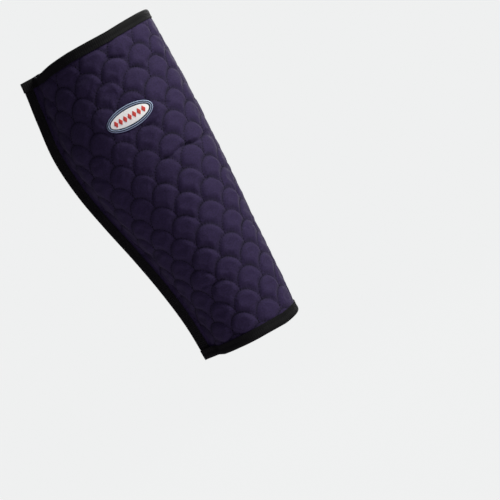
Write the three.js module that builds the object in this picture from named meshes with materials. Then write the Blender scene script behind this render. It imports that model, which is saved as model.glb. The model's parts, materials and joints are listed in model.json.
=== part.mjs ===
// A quilted compression wrap, closed as in use: one padded panel is bent into a tapering tube and its
// two long edges meet at the back in a flat fin. Black binding tape is folded over every edge, a
// hook-and-loop strip closes the fin, and an oval patch with a raised rim sits on the outer side.
// Millimetres. +X is the front, -X the fin at the back, +Z the knee end, -Y the patch side.

import * as THREE from "three";

// Driving dimensions
const WRAP_LENGTH = 320; // ankle edge to knee edge, over the bindings
const SEAT_HEIGHT = 160; // height of the origin on the tube's axis, above the ankle edge
const SECTION_STEP = 40; // height between two rows of SECTIONS
const FIN_DEPTH = 10; // flat part of each flap, from its cut edge to where the tube begins
const FIN_FILLET = 8; // hollow curve between the flap and the tube, along X
const PANEL_WALL = 3.6; // padded panel at a stitch line
const EDGE_WALL = 2.4; // padded panel pressed flat under the binding
const TAPE = 0.9; // binding tape
const BINDING_WIDTH = 9; // tape that shows beside an edge
const FOLD_CHAMFER = 0.8; // rounding of the tape's fold
const STRIP_THICKNESS = 1.6; // hook and loop tape, pressed together
const STRIP_WIDTH = 8;
const STRIP_END_GAP = 6; // bare length of the fin above and below the strip
const GAP = 0.3; // between two pieces that lie against each other

// Clamshell quilting: rows of arches, each row set half a width aside from the one below it
const SCALE_WIDTH = 28;
const ROW_PITCH = 17.6;
const DOME_HEIGHT = 2.3; // padding above the stitch lines
const DOME_REACH = 9.5; // from a stitch line to the full height
const COLUMN_LINE_X = 7; // a column of scales follows this line on the patch side
const ROW_DATUM = 190; // height of one arch's crown on that line
const KNEE_LEAN = 4.5; // how far the columns lean to the front at the knee end
const LEAN_FROM = 235; // height where that begins
const LEAN_REACH = 75; // and over which it grows
const EDGE_FADE = 6; // beside a binding the padding rises over this length

// Oval patch
const PATCH_X = 2.5;
const PATCH_HEIGHT = 240;
const PATCH_LENGTH = 47.4;
const PATCH_WIDTH = 22.6;
const PATCH_THICKNESS = 1.1;
const PATCH_SEAT = 1.2; // quilting pressed to this height under the patch
const RIM_WIDTH = 3.9;
const RIM_THICKNESS = 1.7;

// Outline of the panel along its stitch lines, every SECTION_STEP from the ankle edge upwards.
// front is the foremost line and back the flaps' cut edge, both along X. halfWidth is the widest
// reach to either side. taper shapes the tube behind that: 0.5 is a round back, 0.8 nearly a wedge.
const SECTIONS = [
  { front: 46.0, back: -53.4, halfWidth: 43.0, taper: 0.8 },
  { front: 49.7, back: -53.7, halfWidth: 45.0, taper: 0.8 },
  { front: 52.8, back: -57.8, halfWidth: 48.5, taper: 0.74 },
  { front: 56.2, back: -64.4, halfWidth: 52.5, taper: 0.66 },
  { front: 59.5, back: -72.4, halfWidth: 56.0, taper: 0.6 },
  { front: 62.2, back: -79.0, halfWidth: 58.0, taper: 0.56 },
  { front: 64.3, back: -81.0, halfWidth: 58.5, taper: 0.58 },
  { front: 65.7, back: -76.2, halfWidth: 56.5, taper: 0.7 },
  { front: 66.4, back: -70.6, halfWidth: 54.5, taper: 0.78 },
];
const WIDEST_X = { ankle: 1, knee: 8 }; // where the section is widest, at its two ends

// Derived sizes
const TAPE_REACH = GAP + TAPE; // the tape's outer face, beyond the panel's face or edge
const CUT_LOW = TAPE_REACH; // heights of the panel's cut edges
const CUT_HIGH = WRAP_LENGTH - TAPE_REACH;
const FLAP_Y = STRIP_THICKNESS / 2 + 2 * GAP + TAPE + EDGE_WALL; // a flap's outer face, off the middle plane

// Mesh steps
const CURVE_STEPS = 48; // samples in each quarter of a section
const COLUMNS_PER_SCALE = 4;
const ROWS_PER_PITCH = 3;
const INNER_ROWS = 11;
const SIDE_STEPS = 24;
const BODY_STATIONS = 16; // from the front to where the tube bends into the fin
const BEND_DEPTHS = [FIN_DEPTH, 11.5, 13, 14.5, 16, 18, 20, 22.5, 26]; // that bend, in from the cut edge
const OVAL_STEPS = 32;

const MATERIALS = {
  quilt: new THREE.MeshStandardMaterial({ color: 0x2b2440, roughness: 0.95, metalness: 0 }),
  tape: new THREE.MeshStandardMaterial({ color: 0x0d0d0e, roughness: 0.8, metalness: 0 }),
  strip: new THREE.MeshStandardMaterial({ color: 0x121214, roughness: 0.95, metalness: 0 }),
  patch: new THREE.MeshStandardMaterial({ color: 0xe6e4df, roughness: 0.7, metalness: 0 }),
  rim: new THREE.MeshStandardMaterial({ color: 0x4f5f78, roughness: 0.7, metalness: 0 }),
};

function clamp01(value) {
  return Math.min(1, Math.max(0, value));
}

function smoothRise(value) {
  const t = clamp01(value);
  return t * t * (3 - 2 * t);
}

// A column of SECTIONS at any height, on a smooth curve through the rows.
function sectionValue(column, height) {
  const last = SECTIONS.length - 1;
  const place = THREE.MathUtils.clamp(height / SECTION_STEP, 0, last);
  const row = Math.min(last - 1, Math.floor(place));
  const at = (index) => SECTIONS[THREE.MathUtils.clamp(index, 0, last)][column];
  const [a, b, c, d] = [at(row - 1), at(row), at(row + 1), at(row + 2)];
  const t = place - row;
  const slopeIn = (c - a) / 2;
  const slopeOut = (d - b) / 2;
  const turn = 2 * (b - c) + slopeIn + slopeOut;
  const bend = 3 * (c - b) - 2 * slopeIn - slopeOut;
  return ((turn * t + bend) * t + slopeIn) * t + b;
}

// Half of the section at a height, from the front round one side to the flap's cut edge:
// x, y (always positive) and the length s along the curve.
const sectionCache = new Map();
function halfSection(height) {
  const key = height.toFixed(3);
  if (sectionCache.has(key)) return sectionCache.get(key);
  const front = sectionValue("front", height);
  const back = sectionValue("back", height);
  const halfWidth = sectionValue("halfWidth", height);
  const taper = sectionValue("taper", height);
  const widest = THREE.MathUtils.lerp(WIDEST_X.ankle, WIDEST_X.knee, clamp01(height / WRAP_LENGTH));
  const root = back + FIN_DEPTH;
  const points = [];
  for (let i = 0; i <= 2 * CURVE_STEPS; i += 1) {
    const angle = (i / CURVE_STEPS) * (Math.PI / 2);
    if (i <= CURVE_STEPS) {
      points.push({ x: widest + (front - widest) * Math.cos(angle), y: halfWidth * Math.sin(angle) });
      continue;
    }
    const x = widest + (widest - root) * Math.cos(angle);
    const swell = Math.max(0, Math.sin(angle)) ** (2 * taper);
    points.push({ x, y: FLAP_Y + (halfWidth - FLAP_Y) * swell * smoothRise((x - root) / FIN_FILLET) });
  }
  points.push({ x: back, y: FLAP_Y });
  points[0].s = 0;
  for (let i = 1; i < points.length; i += 1) {
    points[i].s = points[i - 1].s + Math.hypot(points[i].x - points[i - 1].x, points[i].y - points[i - 1].y);
  }
  sectionCache.set(key, points);
  return points;
}

function halfLength(height) {
  return halfSection(height).at(-1).s;
}

// Length along the section from the front to the line x = target on the side.
function arcToX(height, target) {
  const points = halfSection(height);
  const i = points.findIndex((p) => p.x <= target);
  const [a, b] = [points[i - 1], points[i]];
  return a.s + ((b.s - a.s) * (a.x - target)) / (a.x - b.x);
}

// A point of the wrap: s is the length from the front, positive on the patch side (-Y),
// and out is the distance off the panel's outer face.
function onWrap(height, s, out) {
  const points = halfSection(height);
  const along = Math.min(Math.abs(s), points.at(-1).s);
  let i = points.findIndex((p) => p.s >= along);
  i = Math.max(1, i);
  const [a, b] = [points[i - 1], points[i]];
  const t = (along - a.s) / (b.s - a.s);
  const before = points[Math.max(0, i - 2)];
  const after = points[Math.min(points.length - 1, i + 1)];
  const start = new THREE.Vector2(b.x - before.x, i === 1 ? b.y + points[1].y : b.y - before.y).normalize();
  const end = new THREE.Vector2(after.x - a.x, after.y - a.y).normalize();
  const tangent = start.lerp(end, t).normalize();
  const x = a.x + (b.x - a.x) * t + tangent.y * out;
  const y = a.y + (b.y - a.y) * t - tangent.x * out;
  return new THREE.Vector3(x, s > 0 ? -y : y, height);
}

// How far an arch has dropped from its crown, at a distance from its centre line in widths.
function archDrop(across) {
  return 1 - Math.sqrt(Math.max(0, 1 - 4 * across * across));
}

// Distance in widths to the nearest scale's centre line in a row.
function offCentre(column, row) {
  const shift = Math.abs(row % 2) / 2;
  return Math.abs(column - shift - Math.round(column - shift));
}

// Padding above the stitch lines at a place in the quilting, counted in columns and rows.
function domeHeight(column, level) {
  let row = Math.ceil(level - 1e-6);
  let across = offCentre(column, row);
  if (level > row - archDrop(across) + 1e-6) {
    row += 1;
    across = 0.5 - across;
  }
  const aboveSpring = Math.max(0, level - (row - 1));
  const meanRadius = (SCALE_WIDTH / 2 + ROW_PITCH) / 2;
  const toOwnArch = (1 - Math.hypot(2 * across, aboveSpring)) * meanRadius;
  const toNextRow = (Math.hypot(2 * across - 1, level - (row - 2)) - 1) * meanRadius;
  const inside = clamp01(Math.min(toOwnArch, toNextRow) / DOME_REACH);
  return DOME_HEIGHT * (1 - (1 - inside) ** 2);
}

// Share of full padding: none under the bindings, all of it past EDGE_FADE beside them.
function paddingShare(height, s) {
  const toEdge = Math.min(height, WRAP_LENGTH - height, halfLength(height) - Math.abs(s));
  return smoothRise((toEdge - BINDING_WIDTH) / EDGE_FADE);
}

// Length along the section from the front to the column of scales that the others are counted from.
function columnLine(height) {
  return arcToX(height, COLUMN_LINE_X) - KNEE_LEAN * smoothRise((height - LEAN_FROM) / LEAN_REACH);
}

// Height of the quilting at a point, pressed down where the patch sits.
function reliefAt(height, s) {
  const column = (columnLine(height) - s) / SCALE_WIDTH;
  const level = (height - ROW_DATUM) / ROW_PITCH;
  const dome = domeHeight(column, level) * paddingShare(height, s);
  const along = (s - arcToX(PATCH_HEIGHT, PATCH_X)) / (PATCH_LENGTH / 2);
  const up = (height - PATCH_HEIGHT) / (PATCH_WIDTH / 2);
  const underPatch = 1 - smoothRise((Math.hypot(along, up) - 1.1) / 0.3);
  return Math.min(dome, THREE.MathUtils.lerp(dome, PATCH_SEAT, underPatch));
}

// A closed surface collected from rows of points. A row keeps each point's index and its place
// along the row, so that rows with different counts can be zipped together.
class Surface {
  positions = [];
  triangles = [];

  row(points, places) {
    const first = this.positions.length / 3;
    points.forEach((p) => this.positions.push(p.x, p.y, p.z));
    return places.map((place, i) => ({ index: first + i, place }));
  }

  // Triangles between two rows that start and end side by side.
  zip(low, high) {
    let [i, j] = [0, 0];
    while (i < low.length - 1 || j < high.length - 1) {
      const lowNext = i < low.length - 1 ? low[i + 1].place : Infinity;
      const highNext = j < high.length - 1 ? high[j + 1].place : Infinity;
      if (lowNext <= highNext) {
        this.triangles.push(low[i].index, low[i + 1].index, high[j].index);
        i += 1;
      } else {
        this.triangles.push(low[i].index, high[j + 1].index, high[j].index);
        j += 1;
      }
    }
  }

  geometry() {
    const made = new THREE.BufferGeometry();
    made.setAttribute("position", new THREE.Float32BufferAttribute(this.positions, 3));
    made.setIndex(this.triangles);
    made.computeVertexNormals();
    return made;
  }
}

// Places round the section from the patch-side flap to the other flap: close together where the
// tube bends into the fin, even elsewhere. inset leaves the flaps' ends free.
function stations(height, inset) {
  const bend = BEND_DEPTHS.map((depth) => halfLength(height) - depth);
  const bodyEnd = bend.at(-1);
  const side = [halfLength(height) - inset, ...bend];
  for (let i = 1; i < BODY_STATIONS; i += 1) side.push(bodyEnd * (1 - i / BODY_STATIONS));
  return [...side, 0, ...side.map((s) => -s).reverse()];
}

// Rows of the quilted face. Its points lie on the stitch lines and between them, so odd columns sit
// lower by the arch's drop there. The rows under the bindings are plain.
function quiltedRows(surface) {
  const places = (list, height) => list.map((s) => -s / halfLength(height));
  const plainRow = (height) => {
    const list = [...stations(height, 0)];
    return surface.row(list.map((s) => onWrap(height, s, 0)), places(list, height));
  };
  const rows = [plainRow(CUT_LOW), plainRow(BINDING_WIDTH + GAP)];
  const step = ROW_PITCH / ROWS_PER_PITCH;
  const oddDrop = archDrop(1 / COLUMNS_PER_SCALE) * ROW_PITCH;
  const lowest = BINDING_WIDTH + GAP + oddDrop;
  const highest = WRAP_LENGTH - BINDING_WIDTH - GAP;
  for (let n = Math.ceil((lowest - ROW_DATUM) / step); ROW_DATUM + n * step < highest; n += 1) {
    const height = ROW_DATUM + n * step;
    const edges = [0, ...BEND_DEPTHS.slice(0, 6)].map((depth) => halfLength(height) - depth);
    const middle = [];
    const innermost = edges.at(-1) - step / 2;
    const farColumn = Math.floor(((halfLength(height) * 2) / SCALE_WIDTH) * COLUMNS_PER_SCALE);
    for (let k = -farColumn; k <= farColumn; k += 1) {
      const own = height - (k % 2 === 0 ? 0 : oddDrop);
      const s = columnLine(own) - (k * SCALE_WIDTH) / COLUMNS_PER_SCALE;
      if (Math.abs(s) < innermost) middle.push({ own, s });
    }
    const line = [
      ...edges.map((s) => ({ own: height, s })),
      ...middle,
      ...edges.map((s) => ({ own: height, s: -s })).reverse(),
    ];
    rows.push(
      surface.row(
        line.map(({ own, s }) => onWrap(own, s, reliefAt(own, s))),
        line.map(({ own, s }) => -s / halfLength(own)),
      ),
    );
  }
  rows.push(plainRow(highest), plainRow(CUT_HIGH));
  return rows;
}

// Rows of the lining side, the wall's thickness inside the stitch lines.
function liningRows(surface) {
  const heights = [CUT_LOW, BINDING_WIDTH + GAP];
  const low = BINDING_WIDTH + EDGE_FADE;
  for (let i = 0; i <= INNER_ROWS; i += 1) heights.push(low + ((WRAP_LENGTH - 2 * low) * i) / INNER_ROWS);
  heights.push(WRAP_LENGTH - BINDING_WIDTH - GAP, CUT_HIGH);
  return heights.map((height) => {
    const list = stations(height, 0);
    const wall = (s) => THREE.MathUtils.lerp(EDGE_WALL, PANEL_WALL, paddingShare(height, s));
    return surface.row(
      list.map((s) => onWrap(height, s, -wall(s))),
      list.map((s) => -s / halfLength(height)),
    );
  });
}

function quiltedPanel() {
  const surface = new Surface();
  const outer = quiltedRows(surface);
  const inner = liningRows(surface);
  outer.slice(1).forEach((row, i) => surface.zip(outer[i], row));
  inner.slice(1).forEach((row, i) => surface.zip(row, inner[i]));
  surface.zip(inner[0], outer[0]);
  surface.zip(outer.at(-1), inner.at(-1));
  const edge = (rows, end) =>
    rows.map((row) => ({ index: row.at(end).index, place: surface.positions[3 * row.at(end).index + 2] }));
  surface.zip(edge(outer, 0), edge(inner, 0));
  surface.zip(edge(inner, -1), edge(outer, -1));
  return surface.geometry();
}

// A solid swept through rings of equal count, each an outline of the same profile.
function sweep(profile, rings) {
  const surface = new Surface();
  const count = profile.length;
  const rows = rings.map((ring) => {
    const row = surface.row(ring, ring.map((_, i) => i));
    return [...row, { index: row[0].index, place: count }];
  });
  rows.slice(1).forEach((row, i) => surface.zip(rows[i], row));
  const caps = THREE.ShapeUtils.triangulateShape(profile, []);
  caps.forEach(([a, b, c]) => {
    surface.triangles.push(rows[0][a].index, rows[0][c].index, rows[0][b].index);
    surface.triangles.push(rows.at(-1)[a].index, rows.at(-1)[b].index, rows.at(-1)[c].index);
  });
  return surface.geometry();
}

// Section of the tape folded over an edge: x is off the panel's outer face, y is in from its cut edge.
function foldedTape() {
  const outer = TAPE_REACH;
  const inner = -EDGE_WALL - TAPE_REACH;
  const hem = BINDING_WIDTH - TAPE_REACH;
  return [
    new THREE.Vector2(outer, hem),
    new THREE.Vector2(outer - TAPE, hem),
    new THREE.Vector2(outer - TAPE, -GAP),
    new THREE.Vector2(inner + TAPE, -GAP),
    new THREE.Vector2(inner + TAPE, hem),
    new THREE.Vector2(inner, hem),
    new THREE.Vector2(inner, FOLD_CHAMFER - TAPE_REACH),
    new THREE.Vector2(inner + FOLD_CHAMFER, -TAPE_REACH),
    new THREE.Vector2(outer - FOLD_CHAMFER, -TAPE_REACH),
    new THREE.Vector2(outer, FOLD_CHAMFER - TAPE_REACH),
  ];
}

// Binding round the ankle or knee edge, between the two flaps' own bindings.
function rimBinding(atKnee) {
  const profile = foldedTape();
  const edge = atKnee ? CUT_HIGH : CUT_LOW;
  const inward = atKnee ? -1 : 1;
  const list = stations(edge, BINDING_WIDTH + GAP);
  const total = halfLength(edge);
  const rings = list.map((s) =>
    profile.map((p) => {
      const height = edge + inward * p.y;
      return onWrap(height, (s / total) * halfLength(height), p.x);
    }),
  );
  return sweep(profile, atKnee ? rings : rings.reverse());
}

// Binding along a flap's cut edge, from the ankle to the knee.
function flapBinding(side) {
  const profile = foldedTape();
  const rings = [];
  for (let i = 0; i <= SIDE_STEPS; i += 1) {
    const height = (WRAP_LENGTH * i) / SIDE_STEPS;
    const back = sectionValue("back", height);
    rings.push(profile.map((p) => new THREE.Vector3(back + p.y, -side * (FLAP_Y + p.x), height)));
  }
  return sweep(profile, side > 0 ? rings : rings.reverse());
}

// Hook-and-loop strip between the two flaps.
function closingStrip() {
  const half = STRIP_THICKNESS / 2;
  const profile = [
    new THREE.Vector2(0, -half),
    new THREE.Vector2(STRIP_WIDTH, -half),
    new THREE.Vector2(STRIP_WIDTH, half),
    new THREE.Vector2(0, half),
  ];
  const rings = [];
  for (let i = 0; i <= SIDE_STEPS; i += 1) {
    const height = STRIP_END_GAP + ((WRAP_LENGTH - 2 * STRIP_END_GAP) * i) / SIDE_STEPS;
    const start = sectionValue("back", height);
    rings.push(profile.map((p) => new THREE.Vector3(start + p.x, p.y, height)));
  }
  return sweep(profile, rings);
}

// A point of the patch: turn goes round the oval, share is 1 on its edge less inset.
function onPatch(turn, share, inset, out) {
  const along = Math.cos(turn) * (PATCH_LENGTH / 2 - inset) * share;
  const up = Math.sin(turn) * (PATCH_WIDTH / 2 - inset) * share;
  const height = PATCH_HEIGHT + up;
  return onWrap(height, arcToX(height, PATCH_X) - along, PATCH_SEAT + GAP + out);
}

// White field of the patch, inside the rim: a curved oval plate.
function patchField() {
  const surface = new Surface();
  const inset = RIM_WIDTH + GAP;
  const oval = (share, out) => {
    const turns = Array.from({ length: OVAL_STEPS + 1 }, (_, i) => i);
    const points = turns.slice(0, -1).map((i) => onPatch((i / OVAL_STEPS) * 2 * Math.PI, share, inset, out));
    const row = surface.row(points, turns.slice(0, -1));
    return [...row, { index: row[0].index, place: OVAL_STEPS }];
  };
  const centre = (out) => {
    const [row] = surface.row([onPatch(0, 0, inset, out)], [0]);
    return [row];
  };
  const rows = [
    centre(0),
    oval(0.55, 0),
    oval(1, 0),
    oval(1, PATCH_THICKNESS),
    oval(0.55, PATCH_THICKNESS),
    centre(PATCH_THICKNESS),
  ];
  rows.slice(1).forEach((row, i) => surface.zip(rows[i], row));
  return surface.geometry();
}

// Raised rim round the patch.
function patchRim() {
  const surface = new Surface();
  const shoulder = RIM_WIDTH / 4;
  const profile = [
    { inset: 0, out: 0 },
    { inset: 0, out: RIM_THICKNESS / 2 },
    { inset: shoulder, out: RIM_THICKNESS },
    { inset: RIM_WIDTH - shoulder, out: RIM_THICKNESS },
    { inset: RIM_WIDTH, out: RIM_THICKNESS / 2 },
    { inset: RIM_WIDTH, out: 0 },
  ];
  const rows = profile.map(({ inset, out }) => {
    const turns = Array.from({ length: OVAL_STEPS }, (_, i) => i);
    const points = turns.map((i) => onPatch((i / OVAL_STEPS) * 2 * Math.PI, 1, inset, out));
    const row = surface.row(points, turns);
    return [...row, { index: row[0].index, place: OVAL_STEPS }];
  });
  [...rows.slice(1), rows[0]].forEach((row, i) => surface.zip(rows[i], row));
  return surface.geometry();
}

// The wrap: heights count from the ankle edge, and the group sets the origin on the tube's axis.
function piece(name, geometry, material) {
  const mesh = new THREE.Mesh(geometry, material);
  mesh.name = name;
  return mesh;
}

const wrap = new THREE.Group();
wrap.add(
  piece("quilted_panel", quiltedPanel(), MATERIALS.quilt),
  piece("knee_binding", rimBinding(true), MATERIALS.tape),
  piece("ankle_binding", rimBinding(false), MATERIALS.tape),
  piece("near_flap_binding", flapBinding(1), MATERIALS.tape),
  piece("far_flap_binding", flapBinding(-1), MATERIALS.tape),
  piece("closing_strip", closingStrip(), MATERIALS.strip),
  piece("patch_field", patchField(), MATERIALS.patch),
  piece("patch_rim", patchRim(), MATERIALS.rim),
);
wrap.position.z = -SEAT_HEIGHT;

const part = new THREE.Group();
part.add(wrap);
export default part;
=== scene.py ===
# %% [markdown]
# A quilted compression wrap, closed as in use. Two layers of brushed cloth hold a thin wadding, sewn
# together in rows of clamshell arches. Black tape binds every edge, the long edges meet in a fin at
# the back, and an oval patch sits on the outer side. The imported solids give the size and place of
# everything. This lesson dresses them: it sews the quilting, folds the tapes, and gives each surface
# the finish of the real material.

# %% Load the frame
import json
import math

import bpy
import numpy as np
from mathutils import Matrix, Vector

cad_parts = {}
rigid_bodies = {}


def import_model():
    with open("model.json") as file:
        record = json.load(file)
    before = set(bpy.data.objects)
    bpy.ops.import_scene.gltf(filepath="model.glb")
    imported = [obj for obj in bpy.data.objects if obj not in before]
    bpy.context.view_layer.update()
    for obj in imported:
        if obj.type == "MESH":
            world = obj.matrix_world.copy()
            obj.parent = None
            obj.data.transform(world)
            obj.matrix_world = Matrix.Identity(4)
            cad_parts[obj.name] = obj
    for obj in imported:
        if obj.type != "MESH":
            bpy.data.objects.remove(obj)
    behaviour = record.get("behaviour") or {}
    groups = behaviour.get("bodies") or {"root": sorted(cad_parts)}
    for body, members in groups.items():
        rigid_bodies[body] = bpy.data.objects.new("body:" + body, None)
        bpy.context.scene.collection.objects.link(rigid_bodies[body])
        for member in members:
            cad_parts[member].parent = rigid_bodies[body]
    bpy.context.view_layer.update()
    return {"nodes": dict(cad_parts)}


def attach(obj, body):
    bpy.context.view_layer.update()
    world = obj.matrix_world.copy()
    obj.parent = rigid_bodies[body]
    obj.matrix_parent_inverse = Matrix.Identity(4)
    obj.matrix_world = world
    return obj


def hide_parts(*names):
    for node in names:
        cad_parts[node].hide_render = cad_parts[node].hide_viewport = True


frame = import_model()
print("CAD nodes:", sorted(frame["nodes"]))

# %% [markdown]
# The camera comes first, because every later choice is judged through it. The wrap is seen from its
# patch side, a little from above, with a longer lens, and the picture is turned so that the wrap runs
# from the upper left to the lower right. A camera is aimed here by writing its three axes into a
# matrix: that is exact, and it needs no constraint.

# %% Camera
MM = 0.001
VIEW_DISTANCE = 1800 * MM
VIEW_WIDTH = 480 * MM  # what the square picture spans at the wrap's middle plane
VIEW_ELEVATION = math.radians(5.6)
VIEW_ROLL = math.radians(30.5)
VIEW_CENTRE = Vector((35.5, 0, -88.5)) * MM

level_right = Vector((1, 0, 0))
level_up = Vector((0, math.sin(VIEW_ELEVATION), math.cos(VIEW_ELEVATION)))
view_back = level_right.cross(level_up)
view_up = math.cos(VIEW_ROLL) * level_up + math.sin(VIEW_ROLL) * level_right
view_right = view_up.cross(view_back)

bpy.ops.object.select_all(action="DESELECT")
bpy.ops.object.camera_add()
camera = bpy.context.object
camera.data.lens = camera.data.sensor_width * VIEW_DISTANCE / VIEW_WIDTH
aim = Matrix((view_right, view_up, view_back)).transposed().to_4x4()
camera.matrix_world = Matrix.Translation(VIEW_CENTRE + view_back * VIEW_DISTANCE) @ aim
bpy.context.scene.camera = camera
print("lens", round(camera.data.lens, 1), "mm")

# %% [markdown]
# Materials are node trees, and each tree is only a few nodes deep. Colours are written as the sRGB
# hex values one would pick from a screen, and one function turns them to the linear values that a
# shader works with. Two more set up a node and link it, so that a material reads as a list.

# %% Colour and node helpers
def linear(hex_colour):
    """The linear RGBA of an sRGB hex colour."""
    channels = [int(hex_colour[i:i + 2], 16) / 255 for i in (1, 3, 5)]
    return [c / 12.92 if c <= 0.04045 else ((c + 0.055) / 1.055) ** 2.4 for c in channels] + [1.0]


def set_inputs(owner, node, inputs):
    """Sets the inputs of a material's or world's node, each to a value or another node's output."""
    for key, value in inputs.items():
        if isinstance(value, bpy.types.NodeSocket):
            owner.node_tree.links.new(value, node.inputs[key])
        else:
            node.inputs[key].default_value = value


def add_node(material, kind, inputs=None, **settings):
    """Adds a node with its settings and inputs."""
    made = material.node_tree.nodes.new(kind)
    for key, value in settings.items():
        setattr(made, key, value)
    set_inputs(material, made, inputs or {})
    return made


def new_material(name):
    """An empty material and its shader node."""
    material = bpy.data.materials.new(name)
    material.use_nodes = True
    return material, material.node_tree.nodes["Principled BSDF"]


# %% [markdown]
# The wrap's form is a stack of outlines. Each one runs from the front round the side to the flap's cut
# edge: an ellipse to the widest place, a fuller or leaner curve behind it, a hollow bend, and the
# flat flap. These are the sizes that the solids were made from, in millimetres, every 40 mm up from
# the ankle edge. A finer table of the whole form is then filled in once, so that any piece can ask
# for a point by how far it lies round the wrap and up it.

# %% The wrap's form
WRAP_LENGTH = 320
SEAT_HEIGHT = 160
SECTION_STEP = 40
SECTIONS = {
    "front": [46.0, 49.7, 52.8, 56.2, 59.5, 62.2, 64.3, 65.7, 66.4],
    "back": [-53.4, -53.7, -57.8, -64.4, -72.4, -79.0, -81.0, -76.2, -70.6],
    "half_width": [43.0, 45.0, 48.5, 52.5, 56.0, 58.0, 58.5, 56.5, 54.5],
    "taper": [0.8, 0.8, 0.74, 0.66, 0.6, 0.56, 0.58, 0.7, 0.78],
}
WIDEST_ANKLE, WIDEST_KNEE = 1, 8  # x of the widest place
FIN_DEPTH, FIN_FILLET = 10, 8
EDGE_WALL, PANEL_WALL = 2.4, 3.6
TAPE, GAP, BINDING_WIDTH = 0.9, 0.3, 9
STRIP_THICKNESS = 1.6
TAPE_REACH = TAPE + GAP
FLAP_Y = STRIP_THICKNESS / 2 + 2 * GAP + TAPE + EDGE_WALL
OUTLINE_POINTS = 401


def smooth_rise(value):
    t = np.clip(value, 0, 1)
    return t * t * (3 - 2 * t)


def rise_between(value, start, end):
    """0 at start and 1 at end, whichever is the greater, with a smooth rise between them."""
    return smooth_rise((value - start) / (end - start))


def along_height(name, height):
    """A column of SECTIONS at any height, on a smooth curve through its rows."""
    column = np.array(SECTIONS[name])
    last = len(column) - 1
    place = np.clip(np.asarray(height, float) / SECTION_STEP, 0, last)
    row = np.minimum(last - 1, np.floor(place)).astype(int)
    a, b, c, d = (column[np.clip(row + k, 0, last)] for k in (-1, 0, 1, 2))
    t = place - row
    slope_in, slope_out = (c - a) / 2, (d - b) / 2
    turn = 2 * (b - c) + slope_in + slope_out
    bend = 3 * (c - b) - 2 * slope_in - slope_out
    return ((turn * t + bend) * t + slope_in) * t + b


def half_outline(height):
    """x and y of half the outline at one height, from the front to the flap's cut edge."""
    front, back, half_width, taper = (along_height(name, height) for name in SECTIONS)
    widest = WIDEST_ANKLE + (WIDEST_KNEE - WIDEST_ANKLE) * height / WRAP_LENGTH
    root = back + FIN_DEPTH
    angle = np.linspace(0, np.pi, OUTLINE_POINTS)
    sine = np.clip(np.sin(angle), 0, 1)
    nose = angle <= np.pi / 2
    x = widest + np.where(nose, front - widest, widest - root) * np.cos(angle)
    rear = (half_width - FLAP_Y) * sine ** (2 * taper) * smooth_rise((x - root) / FIN_FILLET)
    y = np.where(nose, half_width * sine, FLAP_Y + rear)
    return np.append(x, back), np.append(y, FLAP_Y)


FORM_HEIGHTS = np.arange(0, WRAP_LENGTH + 1)
FORM_SHARES = np.linspace(0, 1, 601)
form = np.zeros((len(FORM_HEIGHTS), len(FORM_SHARES), 2))
half_lengths = np.zeros(len(FORM_HEIGHTS))
for i, height in enumerate(FORM_HEIGHTS):
    x, y = half_outline(height)
    arc = np.append(0, np.cumsum(np.hypot(np.diff(x), np.diff(y))))
    half_lengths[i] = arc[-1]
    form[i, :, 0] = np.interp(FORM_SHARES * arc[-1], arc, x)
    form[i, :, 1] = np.interp(FORM_SHARES * arc[-1], arc, y)
tangent = np.gradient(form, axis=1)
tangent[:, 0] = (0, 1)
tangent /= np.linalg.norm(tangent, axis=2, keepdims=True)
form = np.concatenate([form, tangent], axis=2)
measured = half_lengths[[0, SEAT_HEIGHT, WRAP_LENGTH]].round(1)
print("half girth", measured, "mm at the ankle, middle and knee")

# %% Places on the form
# how far the worn edges stray from level, as pairs of length from the front and rise, in millimetres
KNEE_STRAY = [(0, -0.7), (32, -0.7), (55, -1.2), (74, -1.8), (98, -1.0), (116, -0.5), (128, -0.8),
              (140, -1.3), (151, -2.5), (157, -3.2), (165, -2.5), (180, -2.3), (189, -1.9)]
ANKLE_STRAY = [(0, -2.4), (37, -2.9), (48, -1.9), (60, -1.1), (75, -0.7), (91, -0.3), (115, -0.5),
               (126, -0.3), (134, 0.6), (142, 1.9)]
STRAY_REACH = 70  # in from each edge


def half_length(height):
    return np.interp(height, FORM_HEIGHTS, half_lengths)


def stray(s, height):
    """How far a point near the knee or ankle edge lies above or below its even place."""
    knee = np.interp(np.abs(s), *np.transpose(KNEE_STRAY))
    ankle = np.interp(np.abs(s), *np.transpose(ANKLE_STRAY))
    near_knee = smooth_rise(1 - (WRAP_LENGTH - height) / STRAY_REACH)
    near_ankle = smooth_rise(1 - height / STRAY_REACH)
    return knee * near_knee + ankle * near_ankle


def line_at(x):
    """The length from the front to a line at x on the outer side, at each height of the form."""
    shares = [np.interp(-x, -row[:, 0], FORM_SHARES) for row in form]
    return np.array(shares) * half_lengths


PATCH_X, PATCH_HEIGHT, PATCH_LENGTH, PATCH_WIDTH, PATCH_SEAT = 2.5, 240, 46.9, 21.7, 0.7
PATCH_HOLD = 0.5  # the share of the wrap's curve that the stiff patch takes out
WRAP_RADIUS, HOLD_REACH = 66, 20  # that curve, and how far beyond the patch its hold is felt
patch_line = line_at(PATCH_X)


def held_flat(s, height):
    """How far out the stiff patch holds the cloth, which lies flatter under it than elsewhere."""
    off = np.abs(np.interp(height, FORM_HEIGHTS, patch_line) - s)
    half = PATCH_LENGTH / 2
    bow = (np.minimum(off, half) ** 2 - half ** 2 / 3) / (2 * WRAP_RADIUS)
    beside = smooth_rise((half + HOLD_REACH - off) / HOLD_REACH)
    above = smooth_rise((PATCH_WIDTH / 2 + HOLD_REACH - np.abs(height - PATCH_HEIGHT)) / HOLD_REACH)
    return PATCH_HOLD * bow * beside * above


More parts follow.
